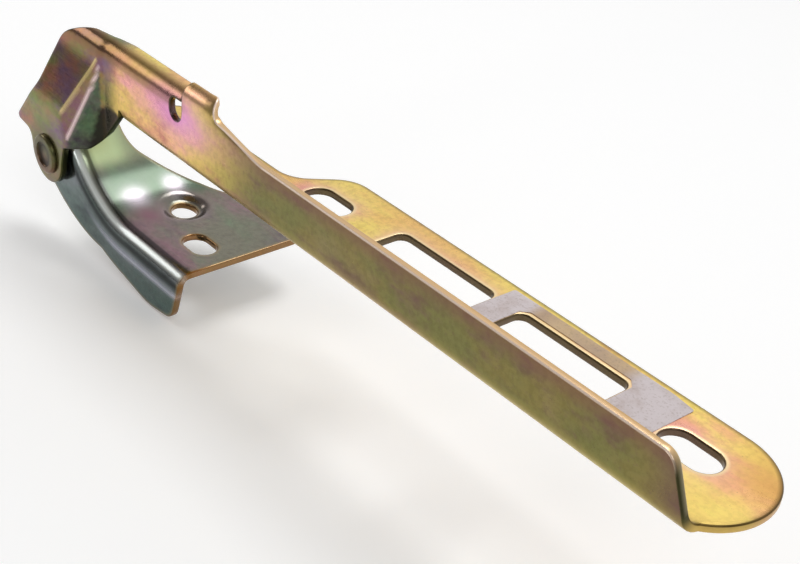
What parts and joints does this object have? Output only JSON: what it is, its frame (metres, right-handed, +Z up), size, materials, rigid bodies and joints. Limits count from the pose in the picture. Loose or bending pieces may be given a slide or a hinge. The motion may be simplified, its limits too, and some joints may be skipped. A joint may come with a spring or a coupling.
{
  "type": "car bonnet hinge",
  "caption": "Pressed-steel car bonnet hinge: a long slotted arm with windows and a cranked neck, pivoting on a rivet in a folded body bracket.",
  "frame": {"origin": "middle of the bracket's dished bolt hole, on the underside of its base plate", "axes": "+X along the arm from the pivot to the tip, +Y from the long wall towards the slotted flange's far edge, +Z up"},
  "size_m": [0.3095, 0.0573, 0.0842],
  "materials": {
    "arm_zinc": "yellow passivated zinc, satin with an iridescent tint",
    "bracket_zinc": "pale passivated zinc, blue-green with pink patches",
    "rivet_steel": "plated rivet",
    "washer_steel": "plain plated washer"
  },
  "bodies": {
    "bracket": {"body_bracket": "bracket_zinc", "pivot_rivet": "rivet_steel", "spacer_washer": "washer_steel"},
    "arm": {"bonnet_arm": "arm_zinc"}
  },
  "joints": [
    {"name": "bonnet_pivot", "type": "hinge", "parent": "bracket", "child": "arm", "pos_m": [-0.0432, -0.02915, 0.0127], "axis": [0, -1, 0], "range_deg": [0, 75]}
  ]
}
